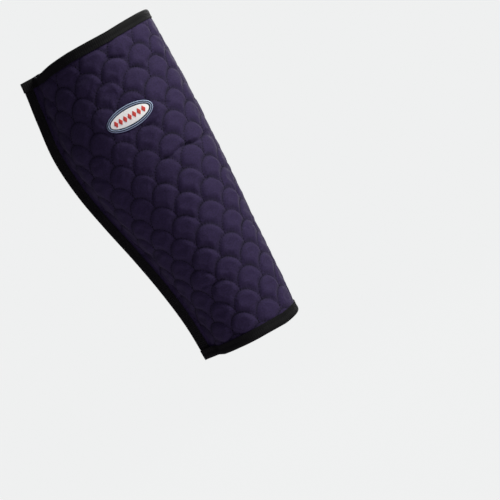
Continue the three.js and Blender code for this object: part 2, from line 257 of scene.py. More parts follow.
def wrap_point(s, height, out=0.0):
    """Points of the wrap in millimetres from the origin: s is the length from the front, positive on
    the patch side, height counts from the ankle edge, and out is off the panel's face."""
    s, height, out = np.broadcast_arrays(*(np.asarray(v, float) for v in (s, height, out)))
    inner = np.clip(height, 0, WRAP_LENGTH)
    row = np.minimum(inner.astype(int), len(FORM_HEIGHTS) - 2)
    share = np.clip(np.abs(s) / half_length(inner), 0, 1) * (len(FORM_SHARES) - 1)
    col = np.minimum(share.astype(int), len(FORM_SHARES) - 2)
    up, along = (inner - row)[..., None], (share - col)[..., None]
    low = form[row, col] * (1 - along) + form[row, col + 1] * along
    high = form[row + 1, col] * (1 - along) + form[row + 1, col + 1] * along
    x, y, tx, ty = np.moveaxis(low * (1 - up) + high * up, -1, 0)
    side = np.where(s > 0, -1.0, 1.0)
    out = out + held_flat(s, inner)
    x = x - np.maximum(np.abs(s) - half_length(inner), 0)
    z = height - SEAT_HEIGHT + stray(s, inner)
    return np.stack([x + ty * out, side * (y - tx * out), z], axis=-1)


print("patch middle at", wrap_point(patch_line[PATCH_HEIGHT], PATCH_HEIGHT).round(1), "mm")

# %% [markdown]
# Clamshell quilting is a pattern of arches: each row is set half a width aside, and an arch springs
# from the crowns of the two arches below it. Every piece of the quilting needs the same few answers,
# so they are worked out here once: which scale a point lies in, and how far it is from the stitch
# line above it and from the ones below. Machine quilting is never quite even once it is worn, so the
# pattern wanders a little, by a few slow waves.

# %% The quilting pattern
SCALE_WIDTH, ROW_PITCH = 28, 17.6
COLUMN_LINE_X, ROW_DATUM = 7, 190
ARCH_RADIUS = (SCALE_WIDTH / 2 + ROW_PITCH) / 2
WANDER = 1.3  # height of the slow waves
# each wave's run round and up the wrap in a radian, and its start
AROUND_WAVES = [(23, 41, 0), (57, -29, 2)]
UP_WAVES = [(31, -47, 1), (19, 67, 4)]
# how far the end rows lean to the front, and the heights between which that grows
KNEE_LEAN, KNEE_LEAN_SPAN = 4.5, (235, 310)
ANKLE_LEAN, ANKLE_LEAN_SPAN = 2.2, (160, 100)
# how far the rows above the main crease are pulled to the front, where that grows, and where it eases
PULL, PULL_SPAN, PULL_SIDE = 4.2, (165, 215), (125, 45)
PULL_EASE, PULL_EASE_SPAN = 0.4, (250, 300)
column_line = line_at(COLUMN_LINE_X)


def slow_waves(waves, s, height):
    total = sum(np.sin(s / around + height / up + start) for around, up, start in waves)
    return WANDER * total / len(waves)


def wander(s, height):
    """How far the stitching strays round and up the wrap, in millimetres."""
    lean = KNEE_LEAN * rise_between(height, *KNEE_LEAN_SPAN)
    lean = lean + ANKLE_LEAN * rise_between(height, *ANKLE_LEAN_SPAN)
    pulled = rise_between(height, *PULL_SPAN) * (1 - PULL_EASE * rise_between(height, *PULL_EASE_SPAN))
    lean = lean + PULL * pulled * rise_between(s, *PULL_SIDE)
    return slow_waves(AROUND_WAVES, s, height) - lean, slow_waves(UP_WAVES, s, height)


def quilt_place(s, height):
    """Where a point lies in the pattern, counted in scales round the wrap and rows up it."""
    around, up = wander(s, height)
    column = (np.interp(height, FORM_HEIGHTS, column_line) - s + around) / SCALE_WIDTH
    return column, (height - ROW_DATUM + up) / ROW_PITCH


def from_quilt(column, level):
    """The point of the wrap at a place in the pattern."""
    height = ROW_DATUM + level * ROW_PITCH
    s = np.interp(height, FORM_HEIGHTS, column_line) - column * SCALE_WIDTH
    for _ in range(3):  # the wander is slow, so three rounds find the place
        around, up = wander(s, height)
        height = ROW_DATUM + level * ROW_PITCH - up
        s = np.interp(height, FORM_HEIGHTS, column_line) - column * SCALE_WIDTH + around
    return s, height


# %% Scales and seams
def arch_drop(across):
    return 1 - np.sqrt(np.clip(1 - 4 * across * across, 0, 1))


def nearest_centre(column, row):
    shift = np.mod(row, 2) / 2
    return np.round(column - shift) + shift


def scale_at(column, level):
    """Row and centre line of the scale that holds a place in the pattern."""
    row = np.ceil(level)
    beyond = level > row - arch_drop(np.abs(column - nearest_centre(column, row)))
    row = row + beyond
    return row, nearest_centre(column, row)


def seam_distances(column, level):
    """Distance to the scale's own arch, and to the two arches below it, in millimetres."""
    row, centre = scale_at(column, level)
    across = 2 * (column - centre)
    own = 1 - np.hypot(across, np.maximum(level - (row - 1), 0))
    below = [np.hypot(across + side, level - (row - 2)) - 1 for side in (-1, 1)]
    return own * ARCH_RADIUS, below[0] * ARCH_RADIUS, below[1] * ARCH_RADIUS


def nearest_arch(column, level):
    """Middle of the nearest arch's half circle, in columns and rows, and how near it is."""
    row, centre = scale_at(column, level)
    own, below_one, below_other = seam_distances(column, level)
    below = np.minimum(below_one, below_other)
    side = np.where(column >= centre, 0.5, -0.5)
    mid_column = np.where(own < below, centre, centre + side)
    mid_level = np.where(own < below, row - 1, row - 2)
    return mid_column, mid_level, np.minimum(own, below)


def edge_distance(s, height):
    return np.minimum(np.minimum(height, WRAP_LENGTH - height), half_length(height) - np.abs(s))


half_turn = np.linspace(0, np.pi, 181)
step_around = np.diff(0.5 * np.cos(half_turn)) * SCALE_WIDTH
step_up = np.diff(np.sin(half_turn)) * ROW_PITCH
arch_length = np.append(0, np.cumsum(np.hypot(step_around, step_up)))
print("one arch takes", round(arch_length[-1], 1), "mm of thread line")

# %% [markdown]
# The brushed outer cloth is a polyester microfibre with a short nap. It scatters light softly, is a
# touch lighter at grazing angles, and its nap lies unevenly, which mottles the dark violet-blue. The
# nap is drawn by two noises on the panel's own flat coordinates, so that it follows the cloth. Beside
# the stitch lines a painted shade darkens the hollows, blotchy over the mottle, and the cloth puckers
# between one stitch and the next: a sine along the seam, kept to a few millimetres beside it, draws
# that. The nap's fibres are far finer than a pixel, so its tufts are drawn at more than a millimetre.

# %% Brushed microfibre
TUFT, MOTTLE, PUCKER = 1.5, 14.0, 3.0  # millimetres
# the painted shade's reach inside an arch and outside it, then the puckers' reach
INNER_SHADE_REACH, OUTER_SHADE_REACH, PUCKER_REACH = 1.5, 3.8, 4.5  # beside a stitch line, in millimetres
PUCKER_SHIFT = 25.0  # radians by which the mottle shifts the puckers, so that they aren't even


def brushed_microfibre():
    """Polyester microfibre with a brushed nap: dark, soft and mottled, with a faint bloom at its edges."""
    material, shader = new_material("brushed microfibre cloth")
    flat = add_node(material, "ShaderNodeUVMap", uv_map="flat_cloth")
    tufts = add_node(material, "ShaderNodeTexNoise", {
        "Vector": flat.outputs["UV"], "Scale": 1 / (TUFT * MM), "Detail": 3, "Roughness": 0.6,
    })
    mottle = add_node(material, "ShaderNodeTexNoise", {
        "Vector": flat.outputs["UV"], "Scale": 1 / (MOTTLE * MM), "Detail": 2,
    })
    near_seam = add_node(material, "ShaderNodeAttribute", attribute_name="near_seam")
    along_seam = add_node(material, "ShaderNodeAttribute", attribute_name="along_seam")
    uneven = add_node(material, "ShaderNodeMath", {
        0: mottle.outputs["Fac"], 1: PUCKER_SHIFT,
    }, operation="MULTIPLY")
    turn = add_node(material, "ShaderNodeMath", {
        0: along_seam.outputs["Fac"], 1: 2 * math.pi / PUCKER, 2: uneven.outputs["Value"],
    }, operation="MULTIPLY_ADD")
    ripple = add_node(material, "ShaderNodeMath", {0: turn.outputs["Value"]}, operation="SINE")
    pucker = add_node(material, "ShaderNodeMath", {
        0: ripple.outputs["Value"], 1: near_seam.outputs["Fac"],
    }, operation="MULTIPLY")
    # painted shade in the seams' hollows, made blotchy by the mottle
    painted_hollow_shade = add_node(material, "ShaderNodeAttribute", attribute_name="painted_hollow_shade")
    blotches = add_node(material, "ShaderNodeMapRange", {
        "Value": mottle.outputs["Fac"], "From Min": 0.35, "From Max": 0.65, "To Min": 0.3, "To Max": 0.9,
    })
    blotchy_painted_shade = add_node(material, "ShaderNodeMath", {
        0: painted_hollow_shade.outputs["Fac"], 1: blotches.outputs["Result"],
    }, operation="MULTIPLY")
    nap = add_node(material, "ShaderNodeMixRGB", {
        "Fac": mottle.outputs["Fac"], "Color1": linear("#1a1127"), "Color2": linear("#221834"),
    })
    fuzz = add_node(material, "ShaderNodeMapRange", {
        "Value": tufts.outputs["Fac"], "From Min": 0.3, "From Max": 0.7,
    })
    tufted = add_node(material, "ShaderNodeMixRGB", {
        "Fac": fuzz.outputs["Result"], "Color1": nap.outputs["Color"], "Color2": linear("#2b2042"),
    })
    # mixes the painted shade's near-black violet into the nap
    nap_with_painted_shade = add_node(material, "ShaderNodeMixRGB", {
        "Fac": blotchy_painted_shade.outputs["Value"], "Color1": tufted.outputs["Color"], "Color2": linear("#070413"),
    })
    surface = add_node(material, "ShaderNodeMath", {
        0: pucker.outputs["Value"], 1: 0.3, 2: tufts.outputs["Fac"],
    }, operation="MULTIPLY_ADD")
    bump = add_node(material, "ShaderNodeBump", {
        "Height": surface.outputs["Value"], "Strength": 0.6, "Distance": 0.35 * MM,
    })
    set_inputs(material, shader, {
        "Base Color": nap_with_painted_shade.outputs["Color"], "Normal": bump.outputs["Normal"], "Roughness": 0.85,
        "Specular IOR Level": 0.22, "Sheen Weight": 0.06, "Sheen Roughness": 0.6,
        "Sheen Tint": linear("#b2adbe"),
    })
    return material


# %% [markdown]
# The panel starts as it does in the workshop: a flat grid, cut to the wrap's size. Its points are
# slid sideways so that rows of them lie exactly on the stitch lines, and then the whole cloth is laid
# on the form. The wadding lifts each scale between its seams. It is fullest just under its own arch,
# and thins towards the tail between the two scales below.

# %% Wadding and creases
DOME_HEIGHT, ARCH_REACH, TAIL_REACH = 2.35, 6.0, 7.5
FRONT_TAUT, FRONT_REACH = 0.24, (6, 32)  # the padding left where the cloth is taut at the front
BACK_TAUT, BACK_REACH = 0.55, (45, 125)  # and where it is drawn flat towards the flaps
EDGE_FADE, EDGE_PRESS = 6, 0.4
HEM_TUCK = 0.5  # the padding starts this far under the tape
PATCH_PRESS, PATCH_PRESS_RAMP = 1.25, 0.2  # how far the patch's press is felt, in its own sizes
CREASE_SWAY, CREASE_SWAY_RUN = 1.2, 6
# place round the wrap, height, span, slope, depth and breadth of each crease, in millimetres
WORN_FOLDS = [
    (54, 190.3, 84, 0.03, 2.8, 1.7),
    (67, 276, 22, 0.46, 1.3, 1.9),
    (49, 276.5, 18, -0.3, 1.3, 1.9),
    (79, 294.5, 24, 0.3, 1.0, 1.9),
    (90, 66, 30, 0.09, 1.1, 1.9),
    (64, 237, 20, 0.3, 1.0, 2.0),
    (80, 225, 24, -0.25, 1.0, 2.0),
    (122, 292, 36, 0.0, 0.8, 3.0),
    (150, 118, 80, 0.1, 0.8, 4.0),
    (165, 82, 60, 0.2, 0.7, 3.5),
    (-52, 203, 64, -0.1, 1.4, 2.4),
    (-84, 268, 44, -0.2, 1.0, 2.6),
    (-70, 96, 50, 0.12, 0.9, 3.0),
    (-140, 160, 60, -0.15, 0.8, 4.0),
]
SMALL_CREASES = 70
CREASE_LOWEST = (-185, 15, 8, -0.7, 0.25, 1.3)  # the same columns
CREASE_HIGHEST = (185, 305, 22, 0.7, 0.7, 2.4)
FULLNESS_CELLS = 64
rng = np.random.default_rng(11)
fullness = rng.uniform(0.7, 1.2, (FULLNESS_CELLS, FULLNESS_CELLS))
small_creases = rng.uniform(CREASE_LOWEST, CREASE_HIGHEST, (SMALL_CREASES, 6)).tolist()


def padding_share(s, height):
    return smooth_rise((edge_distance(s, height) - BINDING_WIDTH + HEM_TUCK) / EDGE_FADE)


def taut(s):
    """The share of the padding's fullness left where the cloth is taut, in front and behind."""
    slack = rise_between(np.abs(s), *FRONT_REACH)
    drawn = rise_between(np.abs(s), *BACK_REACH)
    return (FRONT_TAUT + (1 - FRONT_TAUT) * slack) * (1 - (1 - BACK_TAUT) * drawn)


def pillow(share):
    """The rise of a cushion from its seam, steep at first and level at the full share."""
    return 1 - (1 - np.clip(share, 0, 1)) ** 2


def dome(s, height):
    """Height of the wadding over the stitch lines, in millimetres."""
    column, level = quilt_place(s, height)
    row, centre = scale_at(column, level)
    own, below_one, below_other = seam_distances(column, level)
    lift = pillow(own / ARCH_REACH)
    tail = pillow(below_one / TAIL_REACH) * pillow(below_other / TAIL_REACH)
    cell = tuple(number.astype(int) % FULLNESS_CELLS for number in (row, 2 * centre))
    return DOME_HEIGHT * fullness[cell] * taut(s) * lift * tail * padding_share(s, height)


def patch_ratio(s, height):
    """0 in the middle of the patch and 1 on its edge."""
    along = np.interp(height, FORM_HEIGHTS, patch_line) - s
    return np.hypot(along / (PATCH_LENGTH / 2), (height - PATCH_HEIGHT) / (PATCH_WIDTH / 2))


def worn_folds(s, height):
    """How far the cloth sinks in the creases that wear has pressed in, in millimetres."""
    sunk = np.zeros_like(s)
    for at_s, at_height, span, slope, depth, breadth in WORN_FOLDS + small_creases:
        sway = CREASE_SWAY * np.sin((s - at_s) / CREASE_SWAY_RUN)
        off = height - at_height - slope * (s - at_s) - sway
        ends = smooth_rise((span / 2 - np.abs(s - at_s)) / (span / 4))
        sunk += depth * ends * np.exp(-(off / breadth) ** 2)
    return sunk


def relief(s, height):
    """The outer face over the plain form: wadding, folds, the press of the patch and of the tapes."""
    pressed = smooth_rise((PATCH_PRESS - patch_ratio(s, height)) / PATCH_PRESS_RAMP)
    padded = dome(s, height) - worn_folds(s, height) * padding_share(s, height)
    flat = padded + pressed * (np.minimum(padded, PATCH_SEAT) - padded)
    return flat - EDGE_PRESS * smooth_rise(1 - edge_distance(s, height) / BINDING_WIDTH)


print(len(WORN_FOLDS), "creases placed by hand and", len(small_creases), "small ones")

# %% Cut and lay the quilted face
PANEL_COLUMNS, PANEL_ROWS = 288, 216
CUT_LOW, CUT_HIGH = TAPE_REACH, WRAP_LENGTH - TAPE_REACH


def mesh_points(piece):
    flat = np.zeros(3 * len(piece.data.vertices))
    piece.data.vertices.foreach_get("co", flat)
    return flat.reshape(-1, 3)


def set_points(piece, points):
    piece.data.vertices.foreach_set("co", np.ascontiguousarray(points).ravel())
    piece.data.update()


def snap_to_seams(s, height, reach):
    """Slides points that lie within reach of a stitch line onto it."""
    column, level = quilt_place(s, height)
    mid_column, mid_level, distance = nearest_arch(column, level)
    ratio = np.hypot(2 * (column - mid_column), level - mid_level)
    near = (distance < reach) & (level > mid_level) & (edge_distance(s, height) > BINDING_WIDTH)
    new_column = mid_column + (column - mid_column) / ratio
    new_level = mid_level + (level - mid_level) / ratio
    s = np.where(near, s - (new_column - column) * SCALE_WIDTH, s)
    height = np.where(near, height + (new_level - level) * ROW_PITCH, height)
    return s, height, near


bpy.ops.object.select_all(action="DESELECT")
bpy.ops.mesh.primitive_grid_add(x_subdivisions=PANEL_COLUMNS, y_subdivisions=PANEL_ROWS, size=2)
panel = bpy.context.object
panel.name = "quilted_cloth"
grid = mesh_points(panel)
cloth_height = CUT_LOW + (grid[:, 1] + 1) / 2 * (CUT_HIGH - CUT_LOW)
cloth_s = -grid[:, 0] * half_length(cloth_height)
cell = (CUT_HIGH - CUT_LOW) / PANEL_ROWS
cloth_s, cloth_height, on_seam = snap_to_seams(cloth_s, cloth_height, cell / 2)
set_points(panel, wrap_point(cloth_s, cloth_height, relief(cloth_s, cloth_height)) * MM)
print("quilted face:", len(grid), "points,", int(on_seam.sum()), "of them on the stitch lines")

# %% [markdown]
# The wadding presses the face outwards while the stitches hold it down, and that is what a cloth
# simulation does well. The points on the stitch lines, under the tapes and under the patch are
# pinned. The rest swells under a gentle pressure, with a little spare cloth to pucker beside the
# seams. Fourteen frames are enough. Any point that moved too far is drawn back, so that no scale
# outgrows its neighbours.

# %% Swell the quilting
SWELL_FRAMES, SWELL_PRESSURE, SPARE_CLOTH, SWELL_CAP = 14, 2.0, 0.012, 0.9
PINNED_RATIO = 1.02  # of the patch's size: inside it the cloth is pinned


def only(piece):
    """Makes a piece the one that operators act on."""
    bpy.ops.object.select_all(action="DESELECT")
    piece.select_set(True)
    bpy.context.view_layer.objects.active = piece


def swell(piece, held):
    start = mesh_points(piece)
    sewn = piece.vertex_groups.new(name="sewn")
    sewn.add([int(i) for i in np.flatnonzero(held)], 1.0, "REPLACE")
    only(piece)
    bpy.ops.object.modifier_add(type="CLOTH")
    cloth = piece.modifiers["Cloth"]
    cloth.settings.quality = 3
    cloth.settings.vertex_group_mass = "sewn"
    cloth.settings.use_pressure = True
    cloth.settings.uniform_pressure_force = SWELL_PRESSURE
    cloth.settings.shrink_min = -SPARE_CLOTH
    cloth.settings.effector_weights.gravity = 0
    cloth.collision_settings.use_collision = False
    for number in range(1, SWELL_FRAMES + 1):
        bpy.context.scene.frame_set(number)
    bpy.ops.object.modifier_apply(modifier="Cloth")
    bpy.context.scene.frame_set(1)
    moved = mesh_points(piece) - start
    length = np.linalg.norm(moved, axis=1, keepdims=True)
    set_points(piece, start + moved * np.minimum(1, SWELL_CAP * MM / np.maximum(length, 1e-9)))
    print("swelled by", (1000 * np.percentile(length, (50, 95, 100))).round(2), "mm (half, most, greatest)")


under_patch = patch_ratio(cloth_s, cloth_height) < PINNED_RATIO
held = on_seam | under_patch | (edge_distance(cloth_s, cloth_height) < BINDING_WIDTH)
swell(panel, held)

# %% [markdown]
# The inside is a second layer of the same cloth, smoother than the face because the wadding leans
# outwards, but dented along the stitch lines, which go right through. It is another grid, laid at the
# wall's depth and turned to face inwards. Joining it to the face and bridging their open borders
# makes the panel one closed, padded sheet.

# %% Line the panel
LINING_SHARE = 3  # face cells to one lining cell
LINING_DENT, DENT_REACH = 0.7, 4
# the painted shade of a seam's hollow at the sides of an arch, as a share of that at its crown, where most
# shade falls
SIDE_SHADE = 0.3  # how dark a seam's hollow is at the sides of an arch, to its crown


def keep_flat(piece, name, across, up):
    """Keeps each point's place on the flat piece as a UV map, in metres."""
    layers = piece.data.uv_layers
    layer = layers[0] if layers else layers.new()
    layer.name = name
    corners = np.zeros(len(piece.data.loops), dtype=int)
    piece.data.loops.foreach_get("vertex_index", corners)
    flat = np.stack([across, up], axis=1) * MM
    layer.data.foreach_set("uv", flat[corners].ravel())


def mark_cloth(piece, s, height):
    """Keeps each point's flat place, the painted shade beside the stitches, how near them it lies, and
    where along them.
    """
    keep_flat(piece, "flat_cloth", s, height)
    column, level = quilt_place(s, height)
    mid_column, mid_level, distance = nearest_arch(column, level)
    turn = np.arctan2(level - mid_level, 2 * (column - mid_column))
    inside = distance == seam_distances(column, level)[0]
    # painted shade: narrow inside an arch, broader outside it, strongest at its crown, and less where the
    # cloth is taut
    reach = np.where(inside, INNER_SHADE_REACH, OUTER_SHADE_REACH)
    crown = SIDE_SHADE + (1 - SIDE_SHADE) * np.sin(np.clip(turn, 0, np.pi))
    marks = {
        "painted_hollow_shade": np.clip(1 - distance / reach, 0, 1) * crown * taut(s) * padding_share(s, height),
        "near_seam": np.clip(1 - distance / PUCKER_REACH, 0, 1) * padding_share(s, height),
        "along_seam": np.interp(turn, half_turn, arch_length),
    }
    for name, values in marks.items():
        mark = piece.data.attributes.new(name, "FLOAT", "POINT")
        mark.data.foreach_set("value", values.astype(np.float32))


mark_cloth(panel, cloth_s, cloth_height)
bpy.ops.object.select_all(action="DESELECT")
bpy.ops.mesh.primitive_grid_add(
    x_subdivisions=PANEL_COLUMNS // LINING_SHARE, y_subdivisions=PANEL_ROWS // LINING_SHARE, size=2)
lining = bpy.context.object
grid = mesh_points(lining)
lining_height = CUT_LOW + (grid[:, 1] + 1) / 2 * (CUT_HIGH - CUT_LOW)
lining_s = -grid[:, 0] * half_length(lining_height)
padded = padding_share(lining_s, lining_height)
wall = EDGE_WALL - EDGE_PRESS + (PANEL_WALL - EDGE_WALL + EDGE_PRESS) * padded
to_seam = np.min(seam_distances(*quilt_place(lining_s, lining_height)), axis=0)
dent = LINING_DENT * np.clip(1 - to_seam / DENT_REACH, 0, 1) ** 2 * padded
set_points(lining, wrap_point(lining_s, lining_height, dent - wall) * MM)
mark_cloth(lining, lining_s, lining_height)
bpy.ops.object.mode_set(mode="EDIT")
bpy.ops.mesh.flip_normals()
bpy.ops.object.mode_set(mode="OBJECT")

only(panel)
lining.select_set(True)
bpy.ops.object.join()
bpy.ops.object.mode_set(mode="EDIT")
bpy.ops.mesh.select_mode(type="EDGE")
bpy.ops.mesh.select_all(action="DESELECT")
bpy.ops.mesh.select_non_manifold()
bpy.ops.mesh.bridge_edge_loops()
bpy.ops.mesh.select_mode(type="VERT")
bpy.ops.object.mode_set(mode="OBJECT")
bpy.ops.object.shade_smooth()
panel.data.materials.append(brushed_microfibre())
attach(panel, "root")
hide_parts("quilted_panel")
print("quilted panel:", len(panel.data.polygons), "faces")

# %% [markdown]
# The quilting thread is a matt polyester, dyed to the cloth. Each stitch shows as a short loop that
# dips into the cloth at both ends, so a seam reads as a dotted line. One loop is a small stretched
# ico sphere of twenty faces. Copies of it are laid along every arch, each turned along its seam, and
# they make one piece.

# %% Sew the arches
STITCH_PITCH, STITCH_LENGTH, STITCH_WIDTH = 2.6, 1.8, 0.65
STITCH_FLATNESS, STITCH_LIFT = 0.7, 0.08
HEM_CLEAR, PATCH_CLEAR = 0.6, 1.06  # no stitch shows nearer to a hem, in millimetres, or to the patch
ARCH_ROWS, ARCH_COLUMNS = np.arange(-13, 11), np.arange(-8, 14)  # enough to cover the wrap
FIBRE = 0.5  # millimetres, drawn coarser than it is so that it shows


def spun_thread(name, colour):
    """Matt spun polyester: fine twisted fibres that scatter the light and break up the colour."""
    material, shader = new_material(name)
    place = add_node(material, "ShaderNodeTexCoord")
    fibres = add_node(material, "ShaderNodeTexNoise", {
        "Vector": place.outputs["Object"], "Scale": 1 / (FIBRE * MM), "Detail": 2,
    })
    shade = add_node(material, "ShaderNodeHueSaturation", {
        "Color": linear(colour), "Value": fibres.outputs["Fac"], "Saturation": 1.0,
    })
    set_inputs(material, shader, {
        "Base Color": shade.outputs["Color"], "Roughness": 0.8, "Specular IOR Level": 0.15,
    })
    return material


def unit(vectors):
    return vectors / np.linalg.norm(vectors, axis=-1, keepdims=True)


def sew(name, middles, ahead, outward, length, width):
    """One piece of many stitches, each a small loop of thread along its seam."""
    bpy.ops.object.select_all(action="DESELECT")
    bpy.ops.mesh.primitive_ico_sphere_add(subdivisions=1, radius=0.5)
    stitch = bpy.context.object
    stitch.name = name
    loop = mesh_points(stitch) * (length, width, STITCH_FLATNESS * width)
    corners = np.array([face.vertices[:] for face in stitch.data.polygons])
    axes = np.stack([ahead, np.cross(outward, ahead), outward], axis=1)
    points = middles[:, None] + loop @ axes
    faces = corners[None] + len(loop) * np.arange(len(middles))[:, None, None]
    stitch.data.clear_geometry()
    stitch.data.from_pydata((points.reshape(-1, 3) * MM).tolist(), [], faces.reshape(-1, 3).tolist())
    only(stitch)
    bpy.ops.object.shade_smooth()
    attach(stitch, "root")
    print(name + ":", len(middles), "stitches")
    return stitch


stitches_per_arch = int(arch_length[-1] / STITCH_PITCH)
turns = np.interp((np.arange(stitches_per_arch) + 0.5) * STITCH_PITCH, arch_length, half_turn)
rows, columns, turns = np.meshgrid(ARCH_ROWS, ARCH_COLUMNS, turns, indexing="ij")
columns = columns + np.mod(rows, 2) / 2


def on_arch(turn, out=0.0):
    s, height = from_quilt(columns + 0.5 * np.cos(turn), rows - 1 + np.sin(turn))
    return s, height, wrap_point(s, height, out)


stitch_s, stitch_height, on_form = on_arch(turns)
shown = edge_distance(stitch_s, stitch_height) > BINDING_WIDTH + HEM_CLEAR
shown &= patch_ratio(stitch_s, stitch_height) > PATCH_CLEAR
ahead = unit(on_arch(turns + 0.01)[2] - on_arch(turns - 0.01)[2])
outward = unit(on_arch(turns, 1.0)[2] - on_form)
lift = relief(stitch_s, stitch_height) + STITCH_LIFT
middles = on_form + outward * lift[..., None]
arch_stitches = sew(
    "quilting_stitches", middles[shown], ahead[shown], outward[shown], STITCH_LENGTH, STITCH_WIDTH)
arch_stitches.data.materials.append(spun_thread("violet polyester thread", "#0b0714"))

# %% [markdown]
# The binding is a woven black tape, folded lengthwise over the cut edge and sewn through. Each of
# the four tapes is a flat strip, a grid, that is folded in code round the panel's edge: the outer
# half, a round fold, and the inner half. Solidify then gives the strip its thickness. A sewn tape is
# never dead straight, so its hem wanders a little and the fold swells and sinks between stitches.

# %% Woven tape
TAPE_RIB = 2.0  # millimetres: twice the real ribs' spacing, so that they show in the picture
TAPE_WEAR = 9.0  # size of the duller and blacker places


def woven_tape():
    """Grosgrain: fine ribs across the tape catch the light in rows; black, with a dull gleam."""
    material, shader = new_material("black grosgrain tape")
    flat = add_node(material, "ShaderNodeUVMap", uv_map="flat_tape")
    ribs = add_node(material, "ShaderNodeTexWave", {
        "Vector": flat.outputs["UV"], "Scale": 2 * math.pi / (20 * TAPE_RIB * MM), "Distortion": 0.4,
        "Detail": 1, "Detail Scale": 3,
    }, wave_type="BANDS", bands_direction="X")
    blotches = add_node(material, "ShaderNodeTexNoise", {
        "Vector": flat.outputs["UV"], "Scale": 1 / (TAPE_WEAR * MM), "Detail": 3,
    })
    dye = add_node(material, "ShaderNodeMixRGB", {
        "Fac": blotches.outputs["Fac"], "Color1": linear("#060606"), "Color2": linear("#151614"),
    })
    bump = add_node(material, "ShaderNodeBump", {
        "Height": ribs.outputs["Fac"], "Strength": 0.6, "Distance": 0.25 * MM,
    })
    set_inputs(material, shader, {
        "Base Color": dye.outputs["Color"], "Normal": bump.outputs["Normal"], "Roughness": 0.75,
        "Specular IOR Level": 0.12,
    })
    return material


tape_finish = woven_tape()

# %% Fold the tapes
TAPE_STEP, TAPE_STEPS_ACROSS, TAPE_CREASE = 1.5, 28, 50
HEM = BINDING_WIDTH - TAPE_REACH
WIDER_HEM = {"knee": 0.6, "ankle": 1.4}  # these two show more tape than the flaps do
TAPE_MIDDLE = GAP + TAPE / 2
FOLD_RADIUS = (EDGE_WALL + 2 * TAPE_MIDDLE) / 2
FOLD_START = FOLD_RADIUS - TAPE_MIDDLE
FLAP_TAPE_END = 1.4  # the flap tapes end this far inside the ankle and knee
RUN_PAST = 0.4
OVERLAP = BINDING_WIDTH + GAP + TAPE_REACH + RUN_PAST  # the knee and ankle tapes run on over them
LIFT_LENGTH, LIFT_CLEAR = 6.0, 0.15  # over which they climb onto the flap tapes, and how clear
RUN_ON_SHARE, RUN_ON_RAMP = 0.58, 0.06  # of the tape's width: the outer half and the fold run on
HEM_STITCH_INWARD = 5.4
FOLD_SWELL = (0.2, 2.2, 1.8)  # height, place in from the cut edge and breadth
STITCH_SINK = (0.18, HEM_STITCH_INWARD, 0.9)
HEM_WAVE, HEM_WAVE_LENGTHS = 0.3, (7.0, 11.3, 23.0)
FOLD_WAVE, FOLD_WAVE_LENGTHS = 0.12, (5.2, 8.7)
WAVE_SHIFT = 1.7


def ridge(place, height, middle, breadth):
    return height * np.exp(-((place - middle) / breadth) ** 2)


def tape_fold(share, hem):
    """The folded tape's section: off the panel's face, and in from its cut edge."""
    half, bend = hem - FOLD_START, math.pi * FOLD_RADIUS
    run = share * (2 * half + bend)
    turn = np.clip((run - half) / FOLD_RADIUS, 0, math.pi)
    out = TAPE_MIDDLE - FOLD_RADIUS * (1 - np.cos(turn))
    inward = FOLD_START - FOLD_RADIUS * np.sin(turn)
    inward = inward + (np.maximum(half - run, 0) + np.maximum(run - half - bend, 0))
    outer_face = run < half + bend / 2
    return out + np.where(outer_face, ridge(inward, *FOLD_SWELL) - ridge(inward, *STITCH_SINK), 0), inward


def wave(along, lengths):
    return sum(np.sin(along / length + WAVE_SHIFT * k) for k, length in enumerate(lengths)) / len(lengths)


def thicken(piece, thickness, crease):
    """Gives a sheet its thickness, half to either side, with hard edges past an angle in degrees."""
    only(piece)
    bpy.ops.object.modifier_add(type="SOLIDIFY")
    piece.modifiers["Solidify"].thickness = thickness * MM
    piece.modifiers["Solidify"].offset = 0
    bpy.ops.object.modifier_apply(modifier="Solidify")
    bpy.ops.object.shade_smooth_by_angle(angle=math.radians(crease))


def fold_tape(edge, length, place, over_corners):
    """A strip of tape folded over an edge; place gives the points from along, out and inward."""
    bpy.ops.object.select_all(action="DESELECT")
    bpy.ops.mesh.primitive_grid_add(
        x_subdivisions=int(length / TAPE_STEP), y_subdivisions=TAPE_STEPS_ACROSS, size=2)
    tape = bpy.context.object
    tape.name = edge + "_tape"
    grid = mesh_points(tape)
    along = (grid[:, 0] + 1) / 2 * length
    across = (grid[:, 1] + 1) / 2
    hem = HEM + WIDER_HEM.get(edge, 0) + HEM_WAVE * wave(along, HEM_WAVE_LENGTHS)
    out, inward = tape_fold(across, hem)
    outer = out > -EDGE_WALL / 2
    out = out + FOLD_WAVE * wave(along, FOLD_WAVE_LENGTHS) * np.where(outer, 1, -1)
    if over_corners:
        run_on = OVERLAP * np.clip((RUN_ON_SHARE - across) / RUN_ON_RAMP, 0, 1)
        along = along + (2 * along / length - 1) * run_on
        beyond = np.maximum(-along, along - length)
        climb = smooth_rise((beyond + LIFT_LENGTH) / LIFT_LENGTH)
        outer_share = np.clip(1 + (out - TAPE_MIDDLE) / FOLD_RADIUS, 0, 1)
        out = out + (TAPE + LIFT_CLEAR) * (climb * outer_share)
    set_points(tape, place(along, out, inward) * MM)
    keep_flat(tape, "flat_tape", along, across * 2 * BINDING_WIDTH)
    thicken(tape, TAPE, TAPE_CREASE)
    tape.data.materials.append(tape_finish)
    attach(tape, "root")
    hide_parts(edge + "_binding")
    print(tape.name + ":", len(tape.data.polygons), "faces")


def round_edge(edge, inward_sign):
    """Places a tape on the ankle or knee edge, from the patch side's flap round to the other."""
    def place(along, out, inward):
        height = edge + inward_sign * inward
        share = 1 - 2 * along / rim_length(edge)
        reach = half_length(height) - BINDING_WIDTH - GAP
        return wrap_point(share * reach, height, out)
    return place


def rim_length(edge):
    return float(2 * (half_length(edge) - BINDING_WIDTH - GAP))


